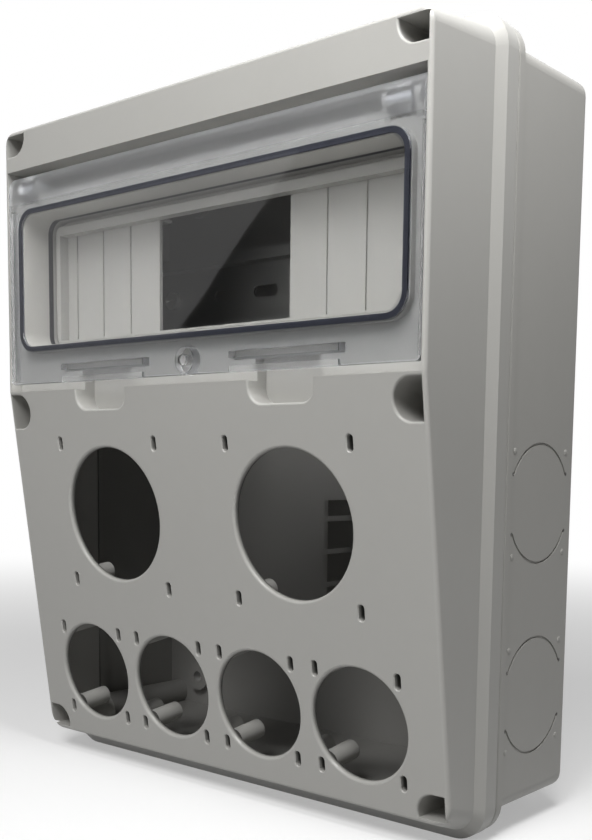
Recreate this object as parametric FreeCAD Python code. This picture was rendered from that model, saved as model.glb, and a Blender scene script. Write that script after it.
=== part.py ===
import FreeCAD, Part
import math
import os

# Wall-mounted industrial socket enclosure, in millimetres.
# X is the width, +Z is up, the wall is the plane Y = 0 and the front faces -Y.
# The origin is the centre of the flat back that lies on the wall.
# Sizes named as a depth are measured back from the front face of the cover,
# and heights of the door and its window are measured up from the bend of the face.

os.makedirs("parts", exist_ok=True)

# Base box behind the seam. The cover and what it holds follow its half width and half height.
base_half_width = 115.0
base_half_height = 135.25
base_corner_radius = 6.0
base_back_radius = 4.0
total_depth = 100.5
wall = 2.5
floor_thickness = 2.5
seam_gap = 0.6
flange_thickness = 4.0
flange_inset = 0.3
flange_land = 6.0
flange_edge_radius = 1.2

# Cover: upright upper face, sloped socket panel below the bend, flared rim behind
cover_depth = 47.2
rim_lip = 0.7
rim_half_width = base_half_width + rim_lip
rim_end_lip = 9.0
rim_half_height = base_half_height + rim_end_lip
rim_corner_radius = 13.0
rim_chamfer_depth = 4.5
rim_back_radius = 0.4
body_depth = 35.5
body_inset = 2.3
body_half_width = rim_half_width - body_inset
body_top_inset = 5.05
body_top = rim_half_height - body_top_inset
body_bottom_inset = 4.85
body_bottom = -rim_half_height + body_bottom_inset
body_corner_radius = 9.0
face_draft = 0.65
face_half_width = body_half_width - face_draft
face_top_draft = 6.05
face_top = body_top - face_top_draft
face_edge_radius = 1.4
face_corner_radius = 5.0
upper_face_height = 111.4
bend_z = face_top - upper_face_height
panel_slope = 7.8
panel_end_lift = 10.155
panel_length = (bend_z + rim_half_height - panel_end_lift) / math.cos(math.radians(panel_slope))
cavity_land = 6.1
cavity_half_width = rim_half_width - cavity_land
cavity_end_land = 6.25
cavity_half_height = rim_half_height - cavity_end_land
cavity_corner_radius = 7.0

# Seal between cover and base, in a groove of the flange
gasket_width = 2.4
gasket_depth = 2.0
gasket_inset = 3.9
gasket_side_clearance = 0.1

# Six deep wells with the cover screws at their bottoms, and the posts of the base
well_radius = 7.3
well_inset = 6.15
well_x = face_half_width - well_inset
well_edge = 1.45
well_wall = 1.8
well_floor_depth = 41.0
well_top_inset = 2.7
well_middle_drop = 8.6
well_bottom_inset = 3.7
mouth_edge_radius = 0.8
screw_edge = 4.5
screw_radius = 2.0
screw_length = 20.0
screw_head_radius = 3.5
screw_head_height = 2.8
screw_slot_width = 1.1
screw_slot_depth = 1.3
screw_seal_thickness = 1.0
screw_seal_clearance = 0.1
screw_hole_clearance = 0.4
screw_bore_clearance = 0.05
screw_bore_spare = 2.0
post_radius = 6.0
post_web_half = 2.0

# Door recess, with a deeper trough along its top for the hinge
recess_border = 1.75
recess_half_width = face_half_width - recess_border
recess_height = 94.8
recess_depth = 5.5
trough_height = 10.3
trough_depth = 13.5

# Tub that leads from the door back to the modules
tub_border = 9.0
tub_half_width = recess_half_width - tub_border
tub_low = 19.7
tub_high = 75.6
tub_corner_radius = 6.0
tub_depth = 22.5
tub_wall = 2.2
tub_flange = 2.2

# Clear door and its hinge
door_thickness = 2.2
door_side_clearance = 0.3
door_low = 3.2
door_edge_radius = 0.7
door_corner_radius = 2.0
hinge_depth = 6.5
hinge_height = 87.0
lip_angle = 54.6
skirt_thickness = 1.9
skirt_depth = 4.9
skirt_high = 78.0
knuckle_inset = 16.6
knuckle_x = recess_half_width - knuckle_inset
knuckle_width = 9.7
knuckle_radius = 3.8
knuckle_foot_low = 81.5
knuckle_pocket_gap = 0.5
gusset_shares = (0.9, 0.45, 0)
hinge_side_clearance = 0.3
ear_radius = 3.3
ear_width = 2.5
ear_foot_low = 80.0
ear_lean = 126
pin_radius = 2.0
pin_clearance = 0.06
pin_overhang = 0.4
pin_chamfer = 0.4

# Seal of the door, in a groove round the window, and the raised lip of the cover that it meets
seal_offset = 1.4
seal_half_width = tub_half_width + seal_offset
seal_low = tub_low - seal_offset
seal_high = tub_high + seal_offset
seal_corner_radius = tub_corner_radius + seal_offset
seal_width = 2.0
seal_cover = 1.2
seal_thickness = 1.4
seal_gap = 0.3
seal_lip_width = 2 * seal_offset
seal_lip_depth = seal_cover + seal_thickness + seal_gap

# Two latches, the lock boss and the finger pockets below the door
latch_x = 50.0
latch_half_width = 26.0
latch_low = 8.5
latch_thickness = 2.6
latch_depth = 9.4
latch_gap = 0.5
latch_nib = 0.2
latch_nib_length = 1.0
latch_pocket_depth = 10.5
grip_height = 2.4
grip_depth = 3.4
lock_height = 9.0
lock_radius = 5.0
lock_bore_radius = 2.1
lock_depth = 8.5
lock_gap = 0.7
lock_pocket_depth = 10.5
notch_half_width = 15.5
notch_drop = 8.5
notch_corner_radius = 6.0
notch_depth = 10.5

# Socket openings and screw slots of the sloped panel, placed down from the bend
large_radius = 28.4
large_x = 50.0
large_drop = 53.0
large_screw_pitch = 60.0
small_radius = 21.75
small_pitch = 50.0
small_margin = 12.0
small_count = 1 + int(2 * (face_half_width - small_margin - small_radius) / small_pitch)
small_drop = 125.5
socket_edge_radius = 1.2
small_screw_pitch = 38.0
slot_width = 2.6
slot_height = 6.0
slot_depth = 15.0
slot_chamfer = 0.4
pillar_radius = 4.0
pillar_length = 18.5

# Frame round the modules, clipped into the floor of the tub
frame_gap = 2.0
frame_front = 18.0
frame_edge_radius = 1.2
frame_border = 5.5
aperture_half_width = tub_half_width - frame_border
aperture_low = 23.5
aperture_high = 69.0
clip_width = 8.0
clip_thickness = 1.2
clip_pitch = 70.0
clip_hook = 0.7
clip_hook_length = 2.0
clip_play = 0.2

# Blanking strips behind the frame, scored so that each module can be snapped out
module_pitch = 18.0
strip_inner_x = 36.0
strip_overlap = 0.5
strip_outer_x = aperture_half_width + strip_overlap
strip_low = 22.3
strip_high = 70.2
strip_thickness = 1.6
strip_lip = 1.2
strip_lip_depth = 7.0
strip_hook = 0.8
strip_hook_length = 1.2
strip_play = 0.3
score_width = 0.9
score_depth = 0.7
score_count = 3

# Mounting rail behind the frame, on two pillars of the base
rail_front = 69.0
rail_end_gap = 17.0
rail_length = 2 * (base_half_width - rail_end_gap)
rail_height = 35.0
rail_crown = 27.0
rail_depth = 7.5
rail_sheet = 1.0
rail_slot_length = 15.0
rail_slot_width = 5.0
rail_slot_pitch = 25.0
rail_slot_count = 5
rail_pillar_inset = 14.0
rail_pillar_x = rail_length / 2 - rail_pillar_inset
rail_pillar_radius = 6.5
rail_screw_radius = 2.0
rail_screw_length = 12.0
rail_screw_head_radius = 3.9
rail_screw_head_height = 2.6
rail_hole_clearance = 0.5

# Knock-outs, wall holes and the comb rib of the base
knockout_radius = 22.0
knockout_depth = 73.0
knockout_upper_z = -21.85
knockout_lower_z = -93.95
knockout_end_x = 57.0
knockout_bridge_angle = 28.5
knockout_groove_width = 0.9
knockout_groove_depth = 0.7
wall_hole_radius = 2.75
wall_hole_inset_x = 25.0
wall_hole_inset_z = 17.25
wall_hole_x = base_half_width - wall_hole_inset_x
wall_hole_z = base_half_height - wall_hole_inset_z
wall_boss_radius = 7.0
wall_boss_height = 3.0
comb_x = 11.0
comb_thickness = 2.0
comb_height = 23.0
comb_middle_z = -46.3
comb_pitch = 14.3
comb_slot = 2.4
comb_slot_depth = 17.0
comb_margin = 8.0
comb_slot_count = 3

# Working lengths: how far a cutter runs past a face, how far a fused piece sinks into its
# carrier, and how exactly an edge is found by its place
cut_over = 1.0
weld = 0.1
edge_tolerance = 0.001

# Planes and places worked out from the sizes above
slope = math.radians(panel_slope)
front = -total_depth
seam = front + cover_depth
base_front = seam + seam_gap
panel_bottom = bend_z - panel_length * math.cos(slope)
sides = (("left", -1), ("right", 1))
# Each row of wells: its name, the height of its rounding and the height of its screw
well_rows = (("top", face_top - well_top_inset, face_top - well_edge - screw_edge),
             ("middle", bend_z - well_middle_drop, bend_z - well_middle_drop),
             ("bottom", panel_bottom + well_bottom_inset, panel_bottom + well_edge + screw_edge))


def depth(distance):
    return front + distance


def above_bend(height):
    return bend_z + height


# Plain shapes

def block(x0, x1, y0, y1, z0, z1):
    corner = FreeCAD.Vector(min(x0, x1), min(y0, y1), min(z0, z1))
    return Part.makeBox(abs(x1 - x0), abs(y1 - y0), abs(z1 - z0), corner)


def rod(x, z, radius, y0, y1):
    start = FreeCAD.Vector(x, y0, z)
    return Part.makeCylinder(radius, y1 - y0, start, FreeCAD.Vector(0, 1, 0))


def cross_rod(x0, x1, radius, y, z):
    start = FreeCAD.Vector(min(x0, x1), y, z)
    return Part.makeCylinder(radius, abs(x1 - x0), start, FreeCAD.Vector(1, 0, 0))


def outline(half_width, z0, z1, radius, y):
    """Rectangle with rounded corners, upright in the plane at y."""
    lean = radius * (1 - math.sqrt(0.5))
    runs = ((-half_width + radius, z0, half_width - radius, z0, half_width - lean, z0 + lean),
            (half_width, z0 + radius, half_width, z1 - radius, half_width - lean, z1 - lean),
            (half_width - radius, z1, -half_width + radius, z1, -half_width + lean, z1 - lean),
            (-half_width, z1 - radius, -half_width, z0 + radius, -half_width + lean, z0 + lean))
    edges = []
    for index, (x_start, z_start, x_end, z_end, x_arc, z_arc) in enumerate(runs):
        x_next, z_next = runs[(index + 1) % len(runs)][:2]
        end = FreeCAD.Vector(x_end, y, z_end)
        edges.append(Part.LineSegment(FreeCAD.Vector(x_start, y, z_start), end).toShape())
        edges.append(Part.Arc(end, FreeCAD.Vector(x_arc, y, z_arc),
                              FreeCAD.Vector(x_next, y, z_next)).toShape())
    return Part.Wire(edges)


def slab(half_width, z0, z1, radius, y0, y1):
    face = Part.Face(outline(half_width, z0, z1, radius, y0))
    return face.extrude(FreeCAD.Vector(0, y1 - y0, 0))


def band(half_width, z0, z1, radius, width, y0, y1):
    """Closed band of one width, centred on a rounded rectangle."""
    half = width / 2
    outer = slab(half_width + half, z0 - half, z1 + half, radius + half, y0, y1)
    return outer.cut(slab(half_width - half, z0 + half, z1 - half, radius - half, y0, y1))


def profile(points, x0, x1):
    """Solid of a closed outline of (y, z) points between two values of X."""
    corners = [FreeCAD.Vector(min(x0, x1), y, z) for y, z in points]
    face = Part.Face(Part.makePolygon(corners + corners[:1]))
    return face.extrude(FreeCAD.Vector(abs(x1 - x0), 0, 0))


def slotted(shape, x, z, width, y0, y1):
    """Cuts a straight driver slot along X into a screw head."""
    half = width / 2
    return shape.cut(block(x - screw_head_radius, x + screw_head_radius, y0, y1, z - half, z + half))


# Sloped panel

def panel_point(x, drop, inset):
    """Point below the bend along the panel, set back square to its face."""
    return FreeCAD.Vector(x,
                          front + drop * math.sin(slope) + inset * math.cos(slope),
                          bend_z - drop * math.cos(slope) + inset * math.sin(slope))


def panel_rod(x, drop, radius, start, end):
    inward = FreeCAD.Vector(0, math.cos(slope), math.sin(slope))
    return Part.makeCylinder(radius, end - start, panel_point(x, drop, start), inward)


def panel_space(inset):
    """Everything in front of the panel, once its face is set back by the inset."""
    reach = 2 * panel_length
    corners = []
    for drop, back in ((-reach, inset), (reach, inset), (reach, -reach), (-reach, -reach)):
        point = panel_point(0, drop, back)
        corners.append((point.y, point.z))
    return profile(corners, -2 * rim_half_width, 2 * rim_half_width)


def panel_slot(x, drop):
    """Upright screw slot with round ends, closed at its inner end."""
    half = (slot_height - slot_width) / 2
    start = -face_edge_radius
    left = x - slot_width / 2
    low = panel_point(left, drop + half, start)
    high = panel_point(left, drop - half, start)
    across = FreeCAD.Vector(slot_width, 0, 0)
    inward = panel_point(left, drop + half, slot_depth) - low
    face = Part.Face(Part.makePolygon([low, low + across, high + across, high, low]))
    ends = [panel_rod(x, drop + step, slot_width / 2, start, slot_depth) for step in (-half, half)]
    return face.extrude(inward).fuse(ends)


def socket_places():
    """Place, opening radius and screw pitch of every socket on the panel."""
    places = [(side * large_x, large_drop, large_radius, large_screw_pitch) for _, side in sides]
    first = -small_pitch * (small_count - 1) / 2
    for index in range(small_count):
        places.append((first + index * small_pitch, small_drop, small_radius, small_screw_pitch))
    return places


def slot_places():
    places = []
    for x, drop, _, pitch in socket_places():
        for step_x in (-pitch / 2, pitch / 2):
            for step_drop in (-pitch / 2, pitch / 2):
                places.append((x + step_x, drop + step_drop))
    return places


# Cover

def cover_outside():
    """Drafted body with rounded front edges and the flared rim behind it, all solid."""
    panel_end = panel_length * math.sin(slope)
    taper = (body_bottom - panel_bottom) / (body_depth - panel_end)
    body = Part.makeLoft([outline(face_half_width, panel_bottom - taper * panel_end, face_top,
                                  face_corner_radius, front),
                          outline(body_half_width, body_bottom, body_top,
                                  body_corner_radius, depth(body_depth))], True, True)
    body = body.cut(panel_space(0))
    front_edges = []
    for edge in body.Edges:
        below = bend_z - edge.CenterOfMass.z
        on_face = edge.BoundBox.YMax - front < edge_tolerance and below < -face_edge_radius
        behind = edge.CenterOfMass.y - front - below * math.tan(slope)
        on_panel = abs(behind) < weld and below > face_edge_radius
        if on_face or on_panel:
            front_edges.append(edge)
    body = body.makeFillet(face_edge_radius, front_edges)
    rim_start = depth(body_depth + rim_chamfer_depth)
    flare = Part.makeLoft([outline(body_half_width, body_bottom, body_top,
                                   body_corner_radius, depth(body_depth)),
                           outline(rim_half_width, -rim_half_height, rim_half_height,
                                   rim_corner_radius, rim_start)], True, True)
    rim = slab(rim_half_width, -rim_half_height, rim_half_height, rim_corner_radius,
               rim_start, seam)
    rim = rim.makeFillet(rim_back_radius,
                         [edge for edge in rim.Edges if edge.BoundBox.YMin > seam - edge_tolerance])
    return body.fuse([flare, rim])


def cover_cavity():
    """Hollow one wall behind the face, narrowing to the land of the rim."""
    panel_end = panel_length * math.sin(slope) + wall
    inner_low = panel_bottom + wall
    taper = (-cavity_half_height - inner_low) / (cover_depth - panel_end)
    hollow = Part.makeLoft([outline(face_half_width - wall, inner_low - taper * (panel_end - wall),
                                    face_top - wall, face_corner_radius, depth(wall)),
                            outline(cavity_half_width, -cavity_half_height, cavity_half_height,
                                    cavity_corner_radius, seam)], True, True)
    return hollow.cut(panel_space(wall))


def well(side, z, radius, y0, y1):
    """Screw well, round towards the middle of the cover and square to its side."""
    square = block(side * well_x, side * face_half_width, y0, y1, z - radius, z + radius)
    return rod(side * well_x, z, radius, y0, y1).fuse(square)


def tub(grow, y0, y1):
    return slab(tub_half_width + grow, above_bend(tub_low) - grow, above_bend(tub_high) + grow,
                tub_corner_radius + grow, y0, y1)


def knuckle_span(side, extra):
    start = knuckle_x - extra
    end = knuckle_x + knuckle_width + extra
    return side * start, side * end


def hollow_list(grow):
    """Pockets of the face behind the door, each made larger by one wall for its shell."""
    top = above_bend(recess_height)
    start = depth(-grow)
    hollows = [block(-recess_half_width - grow, recess_half_width + grow,
                     start, depth(recess_depth + grow), bend_z - grow, top + grow),
               block(-recess_half_width - grow, recess_half_width + grow,
                     start, depth(trough_depth + grow), top - trough_height - grow, top + grow),
               rod(0, above_bend(lock_height), lock_radius + lock_gap + grow,
                   start, depth(lock_pocket_depth + grow))]
    pocket_depth = hinge_depth + knuckle_radius + knuckle_pocket_gap
    for _, side in sides:
        x_start, x_end = knuckle_span(side, hinge_side_clearance + grow)
        hollows.append(block(x_start, x_end, start, depth(pocket_depth + grow),
                             above_bend(knuckle_foot_low - knuckle_pocket_gap) - grow,
                             top - trough_height + grow))
        reach = latch_half_width + latch_gap + grow
        hollows.append(block(side * latch_x - reach, side * latch_x + reach, start,
                             depth(latch_pocket_depth + grow),
                             above_bend(latch_low - latch_gap) - grow,
                             above_bend(latch_low + latch_thickness + latch_gap) + grow))
        hollows.append(finger_pocket(side, grow, start))
    return hollows


def finger_pocket(side, grow, start):
    """Pocket behind the lower edge of the door, with round lower corners in the panel."""
    low = bend_z - notch_drop - grow
    high = above_bend(latch_low)
    reach = notch_half_width + grow
    end = depth(notch_depth + grow)
    shape = slab(reach, low, 2 * high - low, notch_corner_radius + grow, start, end)
    shape = shape.common(block(-reach, reach, start, end, low, high))
    shape.translate(FreeCAD.Vector(side * latch_x, 0, 0))
    return shape


def hinge_ear(x_start):
    """Ear of the cover that holds one end of a hinge pin."""
    y, z = depth(hinge_depth), above_bend(hinge_height)
    angle = math.radians(ear_lean)
    foot = depth(trough_depth + wall / 2)
    step = above_bend(recess_height) - trough_height
    web = profile([(y - ear_radius * math.cos(angle), z + ear_radius * math.sin(angle)),
                   (foot, step), (foot, above_bend(ear_foot_low)),
                   (depth(recess_depth), above_bend(ear_foot_low)), (y - ear_radius, z)],
                  x_start, x_start + ear_width)
    ear = cross_rod(x_start, x_start + ear_width, ear_radius, y, z).fuse(web)
    return ear.cut(cross_rod(x_start - cut_over, x_start + ear_width + cut_over,
                             pin_radius + pin_clearance, y, z))


def clip_places():
    """Centre, half sizes and outward direction of each clip of the module frame."""
    across, up = clip_width / 2, clip_thickness / 2
    high = above_bend(tub_high) - frame_gap - up
    middle = above_bend((aperture_low + aperture_high) / 2)
    places = [(step * clip_pitch, high, across, up, 0, 1) for step in (-1, 0, 1)]
    for _, side in sides:
        places.append((side * (tub_half_width - frame_gap - up), middle, up, across, side, 0))
    return places


def flared_rod(x, drop, radius):
    """Cutter of a socket opening whose front edge is rounded over."""
    across = radius + socket_edge_radius
    rounding = panel_rod(x, drop, across, 0, socket_edge_radius)
    rounding = rounding.cut(panel_rod(x, drop, radius, 0, socket_edge_radius))
    turn = Part.makeTorus(across, socket_edge_radius, panel_point(x, drop, socket_edge_radius),
                          FreeCAD.Vector(0, math.cos(slope), math.sin(slope)))
    opening = panel_rod(x, drop, radius, -cut_over, 2 * wall)
    return opening.fuse([rounding.cut(turn), panel_rod(x, drop, across, -cut_over, 0)])


def chamfered_slot(x, drop):
    """Screw slot whose mouth is cut wider by one chamfer all round."""
    half = (slot_height - slot_width) / 2
    narrow = slot_width / 2
    wide = narrow + slot_chamfer
    inward = FreeCAD.Vector(0, math.cos(slope), math.sin(slope))
    cones = [Part.makeCone(wide, narrow, slot_chamfer, panel_point(x, drop + step, 0), inward)
             for step in (-half, half)]
    corners = [panel_point(x + across, drop + half, inset)
               for across, inset in ((-wide, 0), (wide, 0), (narrow, slot_chamfer),
                                     (-narrow, slot_chamfer))]
    face = Part.Face(Part.makePolygon(corners + corners[:1]))
    run = face.extrude(panel_point(x, drop - half, 0) - panel_point(x, drop + half, 0))
    return panel_slot(x, drop).fuse(cones + [run])


def mouth_arcs(shape):
    """Round parts of the edges where wells and finger pockets meet the face or the panel."""
    found = []
    for edge in shape.Edges:
        centre = edge.CenterOfMass
        across, below = abs(centre.x), bend_z - centre.z
        behind = centre.y - front - max(0, below) * math.tan(slope)
        by_well = well_x - well_radius < across < well_x
        by_pocket = abs(across - latch_x) < notch_half_width and 0 < below < notch_drop
        curved = not isinstance(edge.Curve, (Part.Line, Part.LineSegment))
        if curved and abs(behind) < weld / 10 and (by_well or by_pocket):
            found.append(edge)
    return found


def front_cover():
    outside = cover_outside()
    shells = hollow_list(wall)
    shells.append(tub(tub_wall, front, depth(tub_depth + tub_flange)))
    for _, side in sides:
        for _, z, _ in well_rows:
            shells.append(well(side, z, well_radius + well_wall, front, seam))
    for x, drop in slot_places():
        shells.append(panel_rod(x, drop, pillar_radius, 0, pillar_length))
    shape = outside.cut(cover_cavity().cut(shells[0].fuse(shells[1:])))

    cuts = [tub(0, front - wall, depth(tub_depth))]
    cuts.append(block(-strip_outer_x - strip_play, strip_outer_x + strip_play,
                      depth(tub_depth - cut_over), depth(tub_depth + tub_flange + cut_over),
                      above_bend(strip_low - strip_play), above_bend(strip_high + strip_play)))
    for x, z, half_x, half_z, _, _ in clip_places():
        cuts.append(block(x - half_x - clip_play, x + half_x + clip_play,
                          depth(tub_depth - cut_over), depth(tub_depth + tub_flange + cut_over),
                          z - half_z - clip_play, z + half_z + clip_play))
    limit = block(-face_half_width + well_edge, face_half_width - well_edge, front - wall, seam,
                  panel_bottom + well_edge, face_top - well_edge)
    for _, side in sides:
        for _, z, screw_z in well_rows:
            hollow = well(side, z, well_radius, front - wall, depth(well_floor_depth))
            cuts.append(hollow.common(limit))
            cuts.append(rod(side * well_x, screw_z, screw_radius + screw_hole_clearance,
                            depth(well_floor_depth - cut_over), seam + cut_over))
    cuts.extend(flared_rod(x, drop, radius) for x, drop, radius, _ in socket_places())
    cuts.extend(chamfered_slot(x, drop) for x, drop in slot_places())
    for cutter in hollow_list(0):
        shape = shape.cut(cutter)
    shape = shape.fuse(seal_band(seal_lip_width, depth(seal_lip_depth), depth(recess_depth + weld)))
    for cutter in cuts:
        shape = shape.cut(cutter)
    shape = shape.makeFillet(mouth_edge_radius, mouth_arcs(shape))

    ears = []
    for _, side in sides:
        gap = hinge_side_clearance
        x_low, x_high = sorted(knuckle_span(side, gap))
        ears.append(hinge_ear(x_low - ear_width))
        ears.append(hinge_ear(x_high))
    return shape.fuse(ears)


def cover_screw(side, z):
    x = side * well_x
    seat = depth(well_floor_depth) - screw_seal_thickness
    head = rod(x, z, screw_head_radius, seat - screw_head_height, seat)
    rounded = [edge for edge in head.Edges if edge.BoundBox.YMax < seat - edge_tolerance]
    head = head.makeFillet(screw_head_radius / 5, rounded)
    head = slotted(head, x, z, screw_slot_width,
                   seat - screw_head_height - cut_over, seat - screw_head_height + screw_slot_depth)
    return head.fuse(rod(x, z, screw_radius, seat, seat + screw_length))


def screw_seal(side, z):
    """Flat ring between a screw's head and the floor of its well."""
    x = side * well_x
    seat = depth(well_floor_depth)
    ring = rod(x, z, screw_head_radius, seat - screw_seal_thickness, seat)
    return ring.cut(rod(x, z, screw_radius + screw_seal_clearance, seat - wall, seat + wall))


# Base

def knockout_cut():
    """Scored arcs with bridges left at two sides, for a wall lying in the plane Z = 0."""
    deep = knockout_groove_depth
    below = FreeCAD.Vector(0, 0, -deep)
    half = knockout_groove_width / 2
    groove = Part.makeCylinder(knockout_radius + half, 2 * deep, below)
    groove = groove.cut(Part.makeCylinder(knockout_radius - half, 2 * deep, below))
    bridge = knockout_radius * math.sin(math.radians(knockout_bridge_angle))
    reach = knockout_radius + knockout_groove_width
    gap = Part.makeBox(2 * bridge, 2 * reach, 2 * deep, FreeCAD.Vector(-bridge, -reach, -deep))
    return groove.cut(gap)


def knockouts():
    """Knock-outs of both side walls, the top and the bottom of the base."""
    cuts = []
    y = depth(knockout_depth)
    for _, side in sides:
        for z in (knockout_upper_z, knockout_lower_z):
            cut = knockout_cut()
            cut.rotate(FreeCAD.Vector(0, 0, 0), FreeCAD.Vector(0, 1, 0), side * 90)
            cut.translate(FreeCAD.Vector(side * base_half_width, y, z))
            cuts.append(cut)
            end = knockout_cut()
            if z == knockout_lower_z:
                end.rotate(FreeCAD.Vector(0, 0, 0), FreeCAD.Vector(1, 0, 0), 180)
            height = base_half_height if z == knockout_upper_z else -base_half_height
            end.translate(FreeCAD.Vector(side * knockout_end_x, y, height))
            cuts.append(end)
    return cuts


def comb_rib():
    """Upright rib on the floor with slots open to the front."""
    top = -floor_thickness - comb_height
    half = comb_pitch * (comb_slot_count - 1) / 2 + comb_margin
    rib = block(comb_x - comb_thickness / 2, comb_x + comb_thickness / 2, top,
                -floor_thickness / 2, comb_middle_z - half, comb_middle_z + half)
    for index in range(comb_slot_count):
        z = comb_middle_z + (index - (comb_slot_count - 1) / 2) * comb_pitch
        rib = rib.cut(block(comb_x - comb_thickness, comb_x + comb_thickness, top,
                            top + comb_slot_depth, z - comb_slot / 2, z + comb_slot / 2))
    return rib


def base():
    body = slab(base_half_width, -base_half_height, base_half_height, base_corner_radius,
                base_front, 0)
    back = [edge for edge in body.Edges if edge.BoundBox.YMin > -edge_tolerance]
    body = body.makeFillet(base_back_radius, back)
    flange = slab(rim_half_width - flange_inset, -rim_half_height + flange_inset,
                  rim_half_height - flange_inset, rim_corner_radius - flange_inset,
                  base_front, base_front + flange_thickness)
    mouth_edges = [edge for edge in flange.Edges if edge.BoundBox.YMax < base_front + edge_tolerance]
    flange = flange.makeFillet(flange_edge_radius, mouth_edges)
    step_back = slab(rim_half_width, -rim_half_height, rim_half_height, rim_corner_radius,
                     base_front - cut_over, base_front + flange_edge_radius)
    land = rim_half_width - flange_inset - flange_land
    mouth = base_half_height - wall
    inside = slab(base_half_width - wall, -mouth, mouth, base_corner_radius - wall,
                  base_front + flange_thickness, -floor_thickness)
    opening = slab(land, -mouth, mouth, base_corner_radius - wall,
                   base_front - cut_over, base_front + flange_thickness + cut_over)

    middle = above_bend((aperture_low + aperture_high) / 2)
    supports = [comb_rib()]
    for _, side in sides:
        supports.append(rod(side * rail_pillar_x, middle, rail_pillar_radius,
                            depth(rail_front + rail_depth), -floor_thickness / 2))
        for _, _, z in well_rows:
            post = rod(side * well_x, z, post_radius, base_front, -floor_thickness / 2)
            web = block(side * well_x, side * (base_half_width - wall / 2), base_front,
                        -floor_thickness / 2, z - post_web_half, z + post_web_half)
            supports.append(post.fuse(web).common(body))
        for z in (-wall_hole_z, wall_hole_z):
            supports.append(rod(side * wall_hole_x, z, wall_boss_radius,
                                -floor_thickness - wall_boss_height, -floor_thickness / 2))
    shape = body.cut(step_back).fuse(flange).cut(inside).cut(opening).fuse(supports)

    cuts = knockouts()
    cuts.append(gasket_band(gasket_width + 2 * gasket_side_clearance,
                            base_front - cut_over, base_front + gasket_depth))
    bore_end = depth(well_floor_depth) + screw_length + screw_bore_spare
    for _, side in sides:
        for _, _, z in well_rows:
            cuts.append(rod(side * well_x, z, screw_radius + screw_bore_clearance,
                            base_front - cut_over, bore_end))
        cuts.append(rod(side * rail_pillar_x, middle, rail_screw_radius + screw_bore_clearance,
                        depth(rail_front + rail_depth) - cut_over,
                        depth(rail_front + rail_depth) + rail_screw_length))
        for z in (-wall_hole_z, wall_hole_z):
            cuts.append(rod(side * wall_hole_x, z, wall_hole_radius,
                            -floor_thickness - wall_boss_height - cut_over, cut_over))
    for cutter in cuts:
        shape = shape.cut(cutter)
    return shape


def gasket_band(width, y0, y1):
    return band(rim_half_width - gasket_inset, -rim_half_height + gasket_inset,
                rim_half_height - gasket_inset, rim_corner_radius - gasket_inset, width, y0, y1)


def cover_gasket():
    return gasket_band(gasket_width, seam, base_front + gasket_depth)


# Door

def door_half_width():
    return recess_half_width - door_side_clearance


def seal_band(width, y0, y1):
    return band(seal_half_width, above_bend(seal_low), above_bend(seal_high),
                seal_corner_radius, width, y0, y1)


def door_plate():
    """Flat plate whose upper edge curls back round the hinge axis."""
    y, z = depth(hinge_depth), above_bend(hinge_height)
    outer, inner = hinge_depth, hinge_depth - door_thickness
    end = math.radians(lip_angle)

    def spot(radius, angle):
        return FreeCAD.Vector(-door_half_width(), y - radius * math.cos(angle),
                              z + radius * math.sin(angle))

    low = above_bend(door_low)
    foot_front = FreeCAD.Vector(-door_half_width(), front, low)
    foot_back = FreeCAD.Vector(-door_half_width(), depth(door_thickness), low)
    edges = [Part.LineSegment(foot_back, foot_front),
             Part.LineSegment(foot_front, spot(outer, 0)),
             Part.Arc(spot(outer, 0), spot(outer, end / 2), spot(outer, end)),
             Part.LineSegment(spot(outer, end), spot(inner, end)),
             Part.Arc(spot(inner, end), spot(inner, end / 2), spot(inner, 0)),
             Part.LineSegment(spot(inner, 0), foot_back)]
    section = Part.Face(Part.Wire([edge.toShape() for edge in edges]))
    plate = section.extrude(FreeCAD.Vector(2 * door_half_width(), 0, 0))
    corners = [edge for edge in plate.Edges
               if edge.BoundBox.ZMax - low < edge_tolerance and edge.BoundBox.YLength > weld]
    plate = plate.makeFillet(door_corner_radius, corners)
    seen = [edge for edge in plate.Edges
            if edge.BoundBox.YMax - front < edge_tolerance and edge.BoundBox.ZMin < z - weld]
    return plate.makeFillet(door_edge_radius, seen)


def knuckle(side):
    """Hinge eye and the gusset that joins it to the plate and its lip."""
    y, z = depth(hinge_depth), above_bend(hinge_height)
    x_start, x_end = knuckle_span(side, 0)
    border = hinge_depth - door_thickness / 2
    points = [(y - border, above_bend(knuckle_foot_low)), (y, z - knuckle_radius), (y, z + knuckle_radius)]
    for share in gusset_shares:
        angle = math.radians(share * lip_angle)
        points.append((y - border * math.cos(angle), z + border * math.sin(angle)))
    return cross_rod(x_start, x_end, knuckle_radius, y, z).fuse(profile(points, x_start, x_end))


def latch(side):
    """Ledge with a small nib behind the door, and the thicker grip below it."""
    back = depth(door_thickness - weld)
    low = above_bend(latch_low)
    x0, x1 = side * latch_x - latch_half_width, side * latch_x + latch_half_width
    ledge = block(x0, x1, back, depth(latch_depth), low, low + latch_thickness)
    nib = block(x0, x1, depth(latch_depth - latch_nib_length), depth(latch_depth),
                low + latch_thickness - weld, low + latch_thickness + latch_nib)
    grip = block(x0, x1, back, depth(grip_depth), above_bend(door_low),
                 above_bend(door_low) + grip_height)
    return ledge.fuse([nib, grip])


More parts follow.
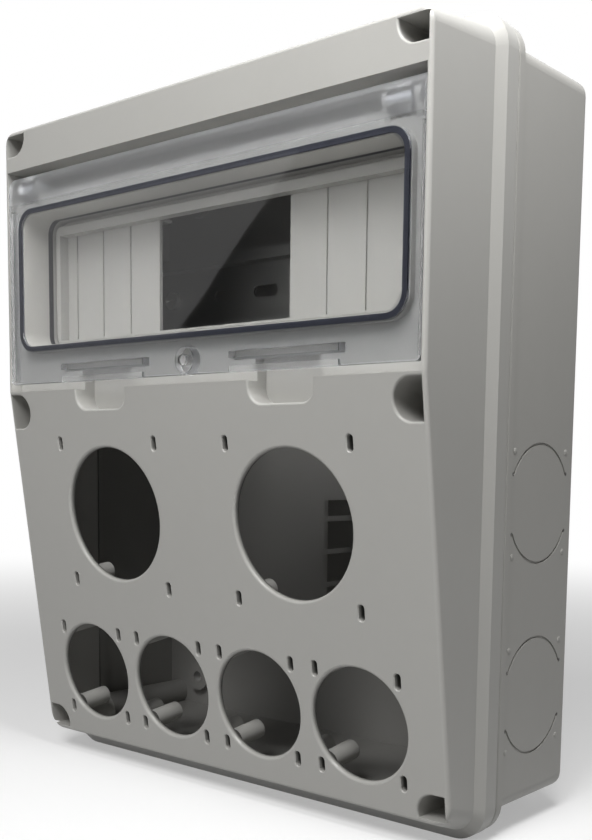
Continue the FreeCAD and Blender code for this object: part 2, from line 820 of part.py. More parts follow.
def door():
    back = depth(door_thickness - weld)
    pieces = [rod(0, above_bend(lock_height), lock_radius, front, depth(lock_depth))]
    for _, side in sides:
        edge = side * door_half_width()
        pieces.append(block(edge, edge - side * skirt_thickness, back, depth(skirt_depth),
                            above_bend(door_low) + door_corner_radius, above_bend(skirt_high)))
        pieces.append(knuckle(side))
        pieces.append(latch(side))
    shape = door_plate().fuse(pieces)
    cuts = [seal_band(seal_width, depth(seal_cover), depth(door_thickness + weld)),
            rod(0, above_bend(lock_height), lock_bore_radius, front - cut_over,
                depth(lock_depth + cut_over))]
    for _, side in sides:
        x_start, x_end = knuckle_span(side, cut_over)
        cuts.append(cross_rod(x_start, x_end, pin_radius + pin_clearance,
                              depth(hinge_depth), above_bend(hinge_height)))
    return shape.cut(cuts)


def door_seal():
    return seal_band(seal_width, depth(seal_cover), depth(seal_cover + seal_thickness))


def hinge_pin(side):
    reach = hinge_side_clearance + ear_width + pin_overhang
    x_start, x_end = knuckle_span(side, reach)
    pin = cross_rod(x_start, x_end, pin_radius, depth(hinge_depth), above_bend(hinge_height))
    ends = [edge for edge in pin.Edges if edge.BoundBox.XLength < edge_tolerance]
    return pin.makeChamfer(pin_chamfer, ends)


# Inside the tub and behind it

def module_frame():
    low, high = above_bend(tub_low) + frame_gap, above_bend(tub_high) - frame_gap
    shape = slab(tub_half_width - frame_gap, low, high, tub_corner_radius - frame_gap,
                 depth(frame_front), depth(tub_depth))
    outer = [edge for edge in shape.Edges
             if edge.BoundBox.YMax < depth(frame_front) + edge_tolerance]
    shape = shape.makeFillet(frame_edge_radius, outer)
    shape = shape.cut(block(-aperture_half_width, aperture_half_width,
                            depth(frame_front - cut_over), depth(tub_depth + cut_over),
                            above_bend(aperture_low), above_bend(aperture_high)))
    behind = depth(tub_depth + tub_flange + clip_play)
    hooks = []
    for x, z, half_x, half_z, side, up in clip_places():
        hooks.append(block(x - half_x, x + half_x, depth(tub_depth - weld),
                           behind + clip_hook_length, z - half_z, z + half_z))
        hooks.append(block(x - half_x + side * clip_hook, x + half_x + side * clip_hook,
                           behind, behind + clip_hook_length,
                           z - half_z + up * clip_hook, z + half_z + up * clip_hook))
    return shape.fuse(hooks)


def blanking_strip(side):
    """Blank of several module widths, held by two hooked lips behind the tub."""
    x0, x1 = side * strip_inner_x, side * strip_outer_x
    face = depth(tub_depth)
    low, high = above_bend(strip_low), above_bend(strip_high)
    behind = face + tub_flange + clip_play
    pieces = []
    for edge, inward in ((low, 1), (high, -1)):
        pieces.append(block(x0, x1, face, face + strip_lip_depth, edge, edge + inward * strip_lip))
        pieces.append(block(x0, x1, behind, behind + strip_hook_length,
                            edge - inward * strip_hook, edge + inward * strip_lip))
    shape = block(x0, x1, face, face + strip_thickness, low, high).fuse(pieces)
    for index in range(1, score_count + 1):
        x = side * (strip_inner_x + index * module_pitch)
        shape = shape.cut(block(x - score_width / 2, x + score_width / 2, face - cut_over,
                                face + score_depth, low - cut_over, high + cut_over))
    return shape


def din_rail():
    """Top-hat mounting rail with a row of slots and one hole over each pillar."""
    middle = above_bend((aperture_low + aperture_high) / 2)
    near, far = depth(rail_front), depth(rail_front + rail_depth)
    brim, crown = rail_height / 2, rail_crown / 2
    half = [(near, brim), (near + rail_sheet, brim), (near + rail_sheet, crown), (far, crown)]
    inner = [(far - rail_sheet, crown - rail_sheet), (near, crown - rail_sheet)]
    points = [(y, middle + z) for y, z in half] + [(y, middle - z) for y, z in reversed(half)]
    points += [(y, middle - z) for y, z in reversed(inner)]
    points += [(y, middle + z) for y, z in inner]
    rail = profile(points, -rail_length / 2, rail_length / 2)
    for _, side in sides:
        rail = rail.cut(rod(side * rail_pillar_x, middle, rail_screw_radius + rail_hole_clearance,
                            near, far + cut_over))
    for index in range(rail_slot_count):
        x = (index - (rail_slot_count - 1) / 2) * rail_slot_pitch
        run = (rail_slot_length - rail_slot_width) / 2
        slot = block(x - run, x + run, near, far + cut_over,
                     middle - rail_slot_width / 2, middle + rail_slot_width / 2)
        ends = [rod(x + step, middle, rail_slot_width / 2, near, far + cut_over) for step in (-run, run)]
        rail = rail.cut(slot.fuse(ends))
    return rail


def rail_screw(side):
    x, z = side * rail_pillar_x, above_bend((aperture_low + aperture_high) / 2)
    seat = depth(rail_front + rail_depth - rail_sheet)
    head = rod(x, z, rail_screw_head_radius, seat - rail_screw_head_height, seat)
    head = slotted(head, x, z, screw_slot_width, seat - rail_screw_head_height - cut_over,
                   seat - rail_screw_head_height + screw_slot_depth)
    return head.fuse(rod(x, z, rail_screw_radius, seat, seat + rail_screw_length))


def save(name, shape):
    shape = shape.removeSplitter()
    solids = shape.Solids
    print(name, len(solids), shape.isValid(), round(shape.Volume / 1000, 2))
    if len(solids) == 1:
        shape = solids[0]
    shape.exportStep("parts/" + name + ".step")


save("base", base())
save("front_cover", front_cover())
save("cover_gasket", cover_gasket())
save("door", door())
save("door_seal", door_seal())
save("module_frame", module_frame())
save("din_rail", din_rail())
for side_name, side_sign in sides:
    save("hinge_pin_" + side_name, hinge_pin(side_sign))
    save("blanking_strip_" + side_name, blanking_strip(side_sign))
    save("rail_screw_" + side_name, rail_screw(side_sign))
    for row_name, _, screw_z in well_rows:
        place = row_name + "_" + side_name
        save("cover_screw_" + place, cover_screw(side_sign, screw_z))
        save("screw_seal_" + place, screw_seal(side_sign, screw_z))
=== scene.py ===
import math

import bmesh
import bpy
from mathutils import Matrix, Vector


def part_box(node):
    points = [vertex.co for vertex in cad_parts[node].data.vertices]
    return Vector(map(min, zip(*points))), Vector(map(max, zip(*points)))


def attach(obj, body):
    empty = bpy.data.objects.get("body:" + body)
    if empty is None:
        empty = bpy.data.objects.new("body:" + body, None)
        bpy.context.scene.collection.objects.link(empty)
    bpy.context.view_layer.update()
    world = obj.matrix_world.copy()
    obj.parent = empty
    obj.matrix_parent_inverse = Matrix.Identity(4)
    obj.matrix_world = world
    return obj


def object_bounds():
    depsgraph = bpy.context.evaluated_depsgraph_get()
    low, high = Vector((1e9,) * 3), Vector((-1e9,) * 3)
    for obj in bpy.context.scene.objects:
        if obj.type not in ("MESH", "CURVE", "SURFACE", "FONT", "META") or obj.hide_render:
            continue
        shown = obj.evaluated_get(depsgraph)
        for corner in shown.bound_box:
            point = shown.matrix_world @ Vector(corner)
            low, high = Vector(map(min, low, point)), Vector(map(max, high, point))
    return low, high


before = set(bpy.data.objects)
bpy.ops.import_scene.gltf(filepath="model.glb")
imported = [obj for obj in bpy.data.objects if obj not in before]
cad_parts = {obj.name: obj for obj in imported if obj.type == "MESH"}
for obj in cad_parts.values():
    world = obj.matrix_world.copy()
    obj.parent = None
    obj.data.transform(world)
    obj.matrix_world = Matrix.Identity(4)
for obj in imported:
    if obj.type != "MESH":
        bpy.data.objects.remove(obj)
cadLow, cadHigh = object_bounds()
sealLow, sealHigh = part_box("door_seal")
frameLow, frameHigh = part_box("module_frame")
print("socket enclosure: packed frame loaded")


# Camera, solved from the photo: place in metres, angles in degrees, lengths on it in pixels

viewCamera = {
    "place": (0.31599, -0.39587, -0.00778),
    "turnDegrees": 40.31,
    "tiltDegrees": -6.30,
    "rollDegrees": 0.70,
    "focalPixels": 1105.0,
    "imageWidth": 592,
    "imageHeight": 840,
    "opticalCentreX": 309.2,
    "opticalCentreY": 584.5,
    "sensorSize": 36,
    "clipStart": 0.01,
    "clipEnd": 50,
}


def addCamera(settings):
    data = bpy.data.cameras.new("viewCamera")
    camera = bpy.data.objects.new("viewCamera", data)
    bpy.context.scene.collection.objects.link(camera)
    longSide = settings["imageHeight"]
    data.sensor_width = settings["sensorSize"]
    data.lens = data.sensor_width * settings["focalPixels"] / longSide
    data.shift_x = (settings["imageWidth"] / 2 - settings["opticalCentreX"]) / longSide
    data.shift_y = (settings["opticalCentreY"] - settings["imageHeight"] / 2) / longSide
    data.clip_start = settings["clipStart"]
    data.clip_end = settings["clipEnd"]
    turn = Matrix.Rotation(math.radians(settings["turnDegrees"]), 4, "Z")
    tilt = Matrix.Rotation(math.radians(90 + settings["tiltDegrees"]), 4, "X")
    roll = Matrix.Rotation(math.radians(settings["rollDegrees"]), 4, "Z")
    camera.matrix_world = Matrix.Translation(settings["place"]) @ turn @ tilt @ roll
    bpy.context.scene.camera = camera


addCamera(viewCamera)
print("socket enclosure: camera placed")


# Node helpers. Each step returns the socket that the next one reads

def addNode(tree, kind, place, **values):
    node = tree.nodes.new(kind)
    node.location = place
    for name, value in values.items():
        setattr(node, name, value)
    return node


def feed(tree, socket, value):
    if isinstance(value, bpy.types.NodeSocket):
        tree.links.new(value, socket)
    else:
        socket.default_value = value


def feedAll(tree, node, values):
    for name, value in values.items():
        feed(tree, node.inputs[name], value)


def objectCoords(tree, place):
    return addNode(tree, "ShaderNodeTexCoord", place).outputs["Object"]


def mathStep(tree, operation, place, *values):
    step = addNode(tree, "ShaderNodeMath", place, operation=operation)
    for socket, value in zip(step.inputs, values):
        feed(tree, socket, value)
    return step.outputs["Value"]


def vectorStep(tree, operation, place, *values, output="Vector"):
    step = addNode(tree, "ShaderNodeVectorMath", place, operation=operation)
    for socket, value in zip(step.inputs, values):
        feed(tree, socket, value)
    return step.outputs[output]


def noiseStep(tree, place, coords, scale, detail, roughness=0.5):
    noise = addNode(tree, "ShaderNodeTexNoise", place)
    feedAll(tree, noise, {"Vector": coords, "Scale": scale, "Detail": detail,
                          "Roughness": roughness})
    return noise.outputs["Fac"]


def rangeStep(tree, place, value, source, target, interpolation="LINEAR"):
    step = addNode(tree, "ShaderNodeMapRange", place, interpolation_type=interpolation)
    feedAll(tree, step, {"Value": value, "From Min": source[0], "From Max": source[1],
                         "To Min": target[0], "To Max": target[1]})
    return step.outputs["Result"]


def paintOver(tree, place, mask, under, over):
    layer = addNode(tree, "ShaderNodeMix", place, data_type="RGBA")
    feedAll(tree, layer, {"Factor": mask, "A": under, "B": over})
    return layer.outputs["Result"]


def bumpStep(tree, place, height, strength, distance):
    bump = addNode(tree, "ShaderNodeBump", place)
    feedAll(tree, bump, {"Height": height, "Strength": strength, "Distance": distance})
    return bump.outputs["Normal"]


def mixShaders(tree, place, share, first, second):
    mix = addNode(tree, "ShaderNodeMixShader", place)
    for socket, value in zip(mix.inputs, (share, first, second)):
        feed(tree, socket, value)
    return mix.outputs["Shader"]


def shaderGroup(name, inputs, outputs):
    group = bpy.data.node_groups.new(name, "ShaderNodeTree")
    for socketName, value in inputs.items():
        kind = "NodeSocketVector" if isinstance(value, tuple) else "NodeSocketFloat"
        socket = group.interface.new_socket(name=socketName, in_out="INPUT", socket_type=kind)
        socket.default_value = value
    for socketName in outputs:
        group.interface.new_socket(name=socketName, in_out="OUTPUT", socket_type="NodeSocketFloat")
    given = addNode(group, "NodeGroupInput", (-900, 0))
    result = addNode(group, "NodeGroupOutput", (900, 0))
    return group, given.outputs, result


def groupStep(tree, place, group, values):
    step = addNode(tree, "ShaderNodeGroup", place, node_tree=group)
    feedAll(tree, step, values)
    return step.outputs


def blankMaterial(name):
    material = bpy.data.materials.new(name)
    material.use_nodes = True
    tree = material.node_tree
    tree.nodes.clear()
    output = addNode(tree, "ShaderNodeOutputMaterial", (900, 0))
    return material, tree, output.inputs["Surface"]


# Moulded surface: fine spark texture, soft flow marks and faint specks

mouldTexture = {
    "grainDetail": 3,
    "grainRoughness": 0.60,
    "flowScale": 9,
    "flowDetail": 4,
    "flowRoughness": 0.55,
    "flowRange": (0.35, 0.65),
    "speckScale": 160,
    "speckDetail": 2,
    "speckShare": 0.4,
}


def makeMouldGroup(settings):
    group, given, result = shaderGroup(
        "mouldSurface",
        {"Grain Scale": 1000.0, "Rough Low": 0.3, "Rough High": 0.5},
        ["Height", "Roughness", "Shade"])
    coords = objectCoords(group, (-900, 300))
    grain = noiseStep(group, (-600, 300), coords, given["Grain Scale"],
                      settings["grainDetail"], settings["grainRoughness"])
    flow = noiseStep(group, (-600, 0), coords, settings["flowScale"],
                     settings["flowDetail"], settings["flowRoughness"])
    specks = noiseStep(group, (-600, -300), coords, settings["speckScale"], settings["speckDetail"])
    rough = rangeStep(group, (0, 0), flow, settings["flowRange"],
                      (given["Rough Low"], given["Rough High"]))
    shade = mathStep(group, "MULTIPLY_ADD", (0, -300), specks, settings["speckShare"], flow)
    feedAll(group, result, {"Height": grain, "Roughness": rough, "Shade": shade})
    return group


# A block with rounded edges: 1 inside it, 0 outside, with a soft edge within the corner's radius

def makeBlockGroup():
    group, given, result = shaderGroup(
        "roundedBlock",
        {"Middle": (0.0, 0.0, 0.0), "Half Size": (0.1, 0.1, 0.1),
         "Corner": 0.01, "Soft Edge": 0.001},
        ["Inside"])
    coords = objectCoords(group, (-900, 300))
    placed = vectorStep(group, "SUBTRACT", (-650, 200), coords, given["Middle"])
    folded = vectorStep(group, "ABSOLUTE", (-500, 200), placed)
    past = vectorStep(group, "SUBTRACT", (-350, 200), folded, given["Half Size"])
    clipped = vectorStep(group, "MAXIMUM", (-200, 200), past, (0, 0, 0))
    distance = vectorStep(group, "LENGTH", (-50, 200), clipped, output="Value")
    fadeStart = mathStep(group, "SUBTRACT", (150, 0), given["Corner"], given["Soft Edge"])
    inside = rangeStep(group, (400, 200), distance, (fadeStart, given["Corner"]), (1, 0),
                       "SMOOTHSTEP")
    feed(group, result.inputs["Inside"], inside)
    return group


# A layer behind a plane: 1 between the full depth and the end depth, 0 elsewhere

def makeLayerGroup():
    group, given, result = shaderGroup(
        "layerBehindPlane",
        {"Plane Point": (0.0, -0.1, 0.0), "Inward": (0.0, 1.0, 0.0),
         "Depth Start": 0.001, "Depth Full": 0.003, "Depth End": 0.005},
        ["Inside"])
    coords = objectCoords(group, (-900, 300))
    placed = vectorStep(group, "SUBTRACT", (-650, 200), coords, given["Plane Point"])
    depth = vectorStep(group, "DOT_PRODUCT", (-400, 200), placed, given["Inward"], output="Value")
    started = rangeStep(group, (0, 200), depth, (given["Depth Start"], given["Depth Full"]), (0, 1),
                        "SMOOTHSTEP")
    notEnded = mathStep(group, "LESS_THAN", (0, -100), depth, given["Depth End"])
    feed(group, result.inputs["Inside"], mathStep(group, "MULTIPLY", (300, 100), started, notEnded))
    return group


# Mask of small round pits where each scored arc of a knock-out ends, on both sides of the base,
# where their shade is painted dark

def makePitGroup():
    group, given, result = shaderGroup(
        "knockoutPits",
        {"Middle": (0.0, 0.0, 0.0), "Half Spacing": (0.0, 0.0, 0.036),
         "Pit Offset": (0.0, 0.02, 0.011), "Pit Radius": 0.001,
         "Core Share": 0.45, "Side From": 0.1146},
        ["Pit"])
    coords = objectCoords(group, (-900, 300))
    placed = vectorStep(group, "SUBTRACT", (-700, 200), coords, given["Middle"])
    flat = vectorStep(group, "MULTIPLY", (-550, 200), placed, (0, 1, 1))
    foldedKnockouts = vectorStep(group, "ABSOLUTE", (-400, 200), flat)
    oneKnockout = vectorStep(group, "SUBTRACT", (-250, 200), foldedKnockouts, given["Half Spacing"])
    foldedPits = vectorStep(group, "ABSOLUTE", (-100, 200), oneKnockout)
    onePit = vectorStep(group, "SUBTRACT", (50, 200), foldedPits, given["Pit Offset"])
    distance = vectorStep(group, "LENGTH", (200, 200), onePit, output="Value")
    core = mathStep(group, "MULTIPLY", (350, 100), given["Pit Radius"], given["Core Share"])
    pit = rangeStep(group, (550, 200), distance, (core, given["Pit Radius"]), (1, 0), "SMOOTHSTEP")
    parts = addNode(group, "ShaderNodeSeparateXYZ", (350, -100))
    feed(group, parts.inputs["Vector"], coords)
    fromMiddle = mathStep(group, "ABSOLUTE", (500, -100), parts.outputs["X"])
    onSide = mathStep(group, "GREATER_THAN", (650, -100), fromMiddle, given["Side From"])
    feed(group, result.inputs["Pit"], mathStep(group, "MULTIPLY", (800, 100), pit, onSide))
    return group


mouldGroup = makeMouldGroup(mouldTexture)
blockGroup = makeBlockGroup()
layerGroup = makeLayerGroup()
pitGroup = makePitGroup()


# Painters of the moulded plastics: each lays one colour of painted shade over the plain plastic by
# its place

# Width in metres of an edge that isn't to fade
hardEdge = 0.00001

# Painted shade: this colour darkens the inside of the base
baseInsideShade = {
    "middle": (0.0, -0.2010, 0.0),
    "halfSize": (0.1134, 0.2, 0.1336),
    "colour": (0.285, 0.280, 0.266, 1),
}

knockouts = {
    "middle": (0.0, -0.0275, -0.0579),
    "halfSpacing": (0.0, 0.0, 0.03605),
    "pitOffset": (0.0, 0.0197, 0.0108),
    "pitRadius": 0.0010,
    "pitCoreShare": 0.45,
    # Dark colour painted into each pit as its shade
    "pitShadeColour": (0.12, 0.115, 0.11, 1),
    "sideFrom": 0.1146,
    "pipOffset": 0.0190,
    "pipRadius": 0.0012,
    "pipHeight": 0.0003,
    "pipSegments": 20,
    "pipRings": 10,
    "sideX": 0.1150,
}

frameGap = {
    "width": 0.0019,
    "margin": 0.0030,
    "softEdge": 0.0005,
    "colour": (0.030, 0.030, 0.038, 1),
}

panelSlotShade = {
    "bendHeight": 0.02175,
    "slopeDegrees": 7.8,
    "depthStart": 0.0010,
    "depthFull": 0.0026,
    "depthEnd": 0.0047,
    "middle": (0.0, 0.0, -0.0590),
    "halfSize": (0.1000, 0.2, 0.0676),
    # Painted shade of the slots
    "colour": (0.085, 0.083, 0.078, 1),
}


# Painted shade: the inside of the base is painted a darker grey than its outside
def paintInsideShade(tree, colour):
    inside = groupStep(tree, (-400, 700), blockGroup, {
        "Middle": baseInsideShade["middle"],
        "Half Size": baseInsideShade["halfSize"],
        "Corner": hardEdge,
        "Soft Edge": hardEdge,
    })["Inside"]
    return paintOver(tree, (100, 400), inside, colour, baseInsideShade["colour"])


# Each scored arc of a knock-out ends in a small pit; its shade is painted as a dark spot
def paintPitShade(tree, colour):
    pit = groupStep(tree, (-400, 450), pitGroup, {
        "Middle": knockouts["middle"],
        "Half Spacing": knockouts["halfSpacing"],
        "Pit Offset": knockouts["pitOffset"],
        "Pit Radius": knockouts["pitRadius"],
        "Core Share": knockouts["pitCoreShare"],
        "Side From": knockouts["sideFrom"],
    })["Pit"]
    return paintOver(tree, (250, 300), pit, colour, knockouts["pitShadeColour"])


# The gap round the module frame lies in shadow: a thin dark line across the walls of the tub
def paintFrameGap(tree, colour):
    middle = (frameLow + frameHigh) / 2
    halfSize = (frameHigh - frameLow) / 2
    halfWidth = frameGap["width"] / 2
    line = groupStep(tree, (-400, 450), blockGroup, {
        "Middle": (middle.x, frameLow.y - halfWidth, middle.z),
        "Half Size": (halfSize.x + frameGap["margin"], halfWidth, halfSize.z + frameGap["margin"]),
        "Corner": frameGap["softEdge"],
        "Soft Edge": frameGap["softEdge"],
    })["Inside"]
    return paintOver(tree, (250, 300), line, colour, frameGap["colour"])


# Painted shade: the screw slots of the sloped panel are painted dark from just below their mouths
def paintPanelSlotShade(tree, colour):
    slope = math.radians(panelSlotShade["slopeDegrees"])
    area = groupStep(tree, (-400, 900), blockGroup, {
        "Middle": panelSlotShade["middle"],
        "Half Size": panelSlotShade["halfSize"],
        "Corner": hardEdge,
        "Soft Edge": hardEdge,
    })["Inside"]
    layer = groupStep(tree, (-400, 700), layerGroup, {
        "Plane Point": (0, cadLow.y, panelSlotShade["bendHeight"]),
        "Inward": (0, math.cos(slope), math.sin(slope)),
        "Depth Start": panelSlotShade["depthStart"],
        "Depth Full": panelSlotShade["depthFull"],
        "Depth End": panelSlotShade["depthEnd"],
    })["Inside"]
    both = mathStep(tree, "MULTIPLY", (0, 700), area, layer)
    return paintOver(tree, (400, 400), both, colour, panelSlotShade["colour"])


# Pale and deep are the two ends of each plastic's colour, roughness the range of its gloss

plasticLooks = {
    "cover": {"pale": (0.470, 0.464, 0.440, 1), "deep": (0.435, 0.429, 0.406, 1),
              "grainScale": 1300, "roughness": (0.30, 0.42), "bumpDistance": 0.00003},
    "base": {"pale": (0.440, 0.433, 0.409, 1), "deep": (0.405, 0.398, 0.374, 1),
             "grainScale": 900, "roughness": (0.36, 0.48), "bumpDistance": 0.00005},
    "frame": {"pale": (0.405, 0.403, 0.383, 1), "deep": (0.372, 0.370, 0.350, 1),
              "grainScale": 1500, "roughness": (0.28, 0.38), "bumpDistance": 0.00002},
    "strip": {"pale": (0.405, 0.403, 0.383, 1), "deep": (0.372, 0.370, 0.350, 1),
              "grainScale": 1100, "roughness": (0.38, 0.48), "bumpDistance": 0.00002},
    "pin": {"pale": (0.50, 0.51, 0.53, 1), "deep": (0.42, 0.43, 0.45, 1),
            "grainScale": 1500, "roughness": (0.40, 0.50), "bumpDistance": 0.00002},
}

mouldShine = {
    "ior": 1.5,
    "specular": 0.42,
    "bumpStrength": 0.35,
}


def mouldedPlastic(name, look, painters=()):
    material, tree, surfaceOutput = blankMaterial(name)
    surface = groupStep(tree, (-400, 0), mouldGroup, {
        "Grain Scale": look["grainScale"],
        "Rough Low": look["roughness"][0],
        "Rough High": look["roughness"][1],
    })
    colour = paintOver(tree, (0, 200), surface["Shade"], look["deep"], look["pale"])
    for painter in painters:
        colour = painter(tree, colour)
    plastic = addNode(tree, "ShaderNodeBsdfPrincipled", (600, 0))
    feedAll(tree, plastic, {
        "IOR": mouldShine["ior"],
        "Specular IOR Level": mouldShine["specular"],
        "Base Color": colour,
        "Roughness": surface["Roughness"],
        "Normal": bumpStep(tree, (0, -250), surface["Height"], mouldShine["bumpStrength"],
                           look["bumpDistance"]),
    })
    feed(tree, surfaceOutput, plastic.outputs["BSDF"])
    return material


# Clear door: polished inside its seal, satin outside it and tinted darker there as painted shade
# of the recess behind, softer in the band of its hinge, paler and softer on the pieces behind its
# plate

clearDoor = {
    "paneTint": (0.93, 0.93, 0.93, 1),
    # Darker tint outside the seal: painted shade of the recess behind the door
    "edgeShadeTint": (0.680, 0.690, 0.710, 1),
    "rearTint": (0.94, 0.945, 0.955, 1),
    "shadowTint": (0.80, 0.80, 0.80, 1),
    "paneRoughness": 0.02,
    "edgeRoughness": 0.14,
    "softRoughness": 0.34,
    "hingeBand": (0.1000, 0.1035),
    "rearDepths": (0.0024, 0.0029),
    "ior": 1.58,
    "cornerRadius": 0.011,
    "sealInset": 0.0010,
    "paneSoftEdge": 0.0006,
    "paneHalfDepth": 0.2,
    "rippleScale": 22,
    "rippleDetail": 2,
    "rippleStrength": 0.10,
    "rippleDistance": 0.0003,
}


def clearPlastic(name, settings):
    material, tree, surfaceOutput = blankMaterial(name)
    halfSize = (sealHigh - sealLow) / 2
    straight = settings["cornerRadius"] + settings["sealInset"]
    pane = groupStep(tree, (-600, 300), blockGroup, {
        "Middle": (sealLow + sealHigh) / 2,
        "Half Size": (halfSize.x - straight, settings["paneHalfDepth"], halfSize.z - straight),
        "Corner": settings["cornerRadius"],
        "Soft Edge": settings["paneSoftEdge"],
    })["Inside"]
    coords = objectCoords(tree, (-1200, -200))
    parts = addNode(tree, "ShaderNodeSeparateXYZ", (-1000, 50))
    feed(tree, parts.inputs["Vector"], coords)
    rearStart, rearFull = (cadLow.y + depth for depth in settings["rearDepths"])
    atHinge = rangeStep(tree, (-800, 50), parts.outputs["Z"], settings["hingeBand"], (0, 1))
    behind = rangeStep(tree, (-800, -100), parts.outputs["Y"], (rearStart, rearFull), (0, 1))
    soft = mathStep(tree, "MAXIMUM", (-600, 0), atHinge, behind)
    edgeRoughness = rangeStep(tree, (-400, 0), soft, (0, 1),
                              (settings["edgeRoughness"], settings["softRoughness"]))
    # The darker tint outside the seal paints in the shade of the recess behind the door
    edgeShadeTint = paintOver(tree, (-400, 500), behind, settings["edgeShadeTint"], settings["rearTint"])
    ripple = noiseStep(tree, (-600, -200), coords, settings["rippleScale"],
                       settings["rippleDetail"])
    plastic = addNode(tree, "ShaderNodeBsdfPrincipled", (300, 100))
    feedAll(tree, plastic, {
        "IOR": settings["ior"],
        "Transmission Weight": 1,
        "Base Color": paintOver(tree, (-200, 400), pane, edgeShadeTint, settings["paneTint"]),
        "Roughness": rangeStep(tree, (-200, 150), pane, (0, 1),
                               (edgeRoughness, settings["paneRoughness"])),
        "Normal": bumpStep(tree, (-200, -200), ripple, settings["rippleStrength"],
                           settings["rippleDistance"]),
    })
    shadow = addNode(tree, "ShaderNodeBsdfTransparent", (300, -200))
    shadow.inputs["Color"].default_value = settings["shadowTint"]
    rays = addNode(tree, "ShaderNodeLightPath", (300, 450))
    feed(tree, surfaceOutput, mixShaders(tree, (600, 0), rays.outputs["Is Shadow Ray"],
                                         plastic.outputs["BSDF"], shadow.outputs["BSDF"]))
    return material


# Rubber with a faint, uneven bloom

rubberLooks = {
    "seal": {"colour": (0.075, 0.080, 0.108), "roughness": 0.55},
    "gasket": {"colour": (0.030, 0.030, 0.032), "roughness": 0.75},
}

rubberTexture = {
    "bloomScale": 260,
    "bloomDetail": 3,
    "bloomGain": 1.5,
    "bloomLift": 0.01,
    "bumpStrength": 0.3,
    "bumpDistance": 0.0002,
}


def softRubber(name, look):
    material, tree, surfaceOutput = blankMaterial(name)
    texture = rubberTexture
    bloom = noiseStep(tree, (-450, 0), objectCoords(tree, (-700, 0)), texture["bloomScale"],
                      texture["bloomDetail"])
    bloomed = [value * texture["bloomGain"] + texture["bloomLift"] for value in look["colour"]]
    rubber = addNode(tree, "ShaderNodeBsdfPrincipled", (300, 0))
    feedAll(tree, rubber, {
        "Roughness": look["roughness"],
        "Base Color": paintOver(tree, (-150, 150), bloom, (*look["colour"], 1), (*bloomed, 1)),
        "Normal": bumpStep(tree, (-150, -200), bloom, texture["bumpStrength"],
                           texture["bumpDistance"]),
    })
    feed(tree, surfaceOutput, rubber.outputs["BSDF"])
    return material


# Plated steel, drawn along X where its noise is stretched

steelLooks = {
    "screw": {"colour": (0.60, 0.60, 0.58), "roughness": 0.32, "stretch": (1, 1, 1)},
    "rail": {"colour": (0.36, 0.36, 0.35), "roughness": 0.50, "stretch": (0.04, 1, 1)},
}

steelTexture = {
    "noiseScale": 90,
    "noiseDetail": 4,
    "shadeLow": 0.88,
    "roughnessLow": 0.75,
    "roughnessHigh": 1.3,
}


def platedSteel(name, look):
    material, tree, surfaceOutput = blankMaterial(name)
    texture = steelTexture
    mapping = addNode(tree, "ShaderNodeMapping", (-700, 0))
    feedAll(tree, mapping, {"Vector": objectCoords(tree, (-900, 0)), "Scale": look["stretch"]})
    drawn = noiseStep(tree, (-450, 0), mapping.outputs["Vector"], texture["noiseScale"],
                      texture["noiseDetail"])
    shaded = [value * texture["shadeLow"] for value in look["colour"]]
    roughness = (look["roughness"] * texture["roughnessLow"],
                 look["roughness"] * texture["roughnessHigh"])
    steel = addNode(tree, "ShaderNodeBsdfPrincipled", (300, 0))
    feedAll(tree, steel, {
        "Metallic": 1,
        "Base Color": paintOver(tree, (-150, 250), drawn, (*shaded, 1), (*look["colour"], 1)),
        "Roughness": rangeStep(tree, (-150, 0), drawn, (0, 1), roughness),
    })
    feed(tree, surfaceOutput, steel.outputs["BSDF"])
    return material


basePlastic = mouldedPlastic("basePlastic", plasticLooks["base"], (paintInsideShade, paintPitShade))
gasketRubber = softRubber("gasketRubber", rubberLooks["gasket"])
screwSteel = platedSteel("screwSteel", steelLooks["screw"])

coverPainters = (paintFrameGap, paintPanelSlotShade)

# The longest of these beginnings that fits a node's name gives its material
nodeMaterials = {
    "base": basePlastic,
    "front_cover": mouldedPlastic("coverPlastic", plasticLooks["cover"], coverPainters),
    "cover_gasket": gasketRubber,
    "cover_screw": screwSteel,
    "screw_seal": gasketRubber,
    "door": clearPlastic("doorPlastic", clearDoor),
    "door_seal": softRubber("doorRubber", rubberLooks["seal"]),
    "hinge_pin": mouldedPlastic("pinPlastic", plasticLooks["pin"]),
    "module_frame": mouldedPlastic("framePlastic", plasticLooks["frame"]),
    "blanking_strip": mouldedPlastic("stripPlastic", plasticLooks["strip"]),
    "din_rail": platedSteel("railSteel", steelLooks["rail"]),
    "rail_screw": screwSteel,
}
for nodeName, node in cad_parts.items():
    beginning = max((start for start in nodeMaterials if nodeName.startswith(start)), key=len)
    for slot in node.material_slots:
        slot.material = nodeMaterials[beginning]
print("socket enclosure: materials on", len(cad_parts), "nodes")


def addMeshObject(name, shape, material):
    mesh = bpy.data.meshes.new(name)
    shape.to_mesh(mesh)
    shape.free()
    mesh.materials.append(material)
    piece = bpy.data.objects.new(name, mesh)
    bpy.context.scene.collection.objects.link(piece)
    return piece


# Moulded pips round the knock-outs, four to each, on both sides of the base

def pipPlaces(settings, side):
    middle, halfSpacing, offset = settings["middle"], settings["halfSpacing"], settings["pipOffset"]
    return [Vector((side * settings["sideX"], middle[1] + across * offset,
                    middle[2] + knockout * halfSpacing[2] + up * offset))
            for knockout in (-1, 1) for across in (-1, 1) for up in (-1, 1)]


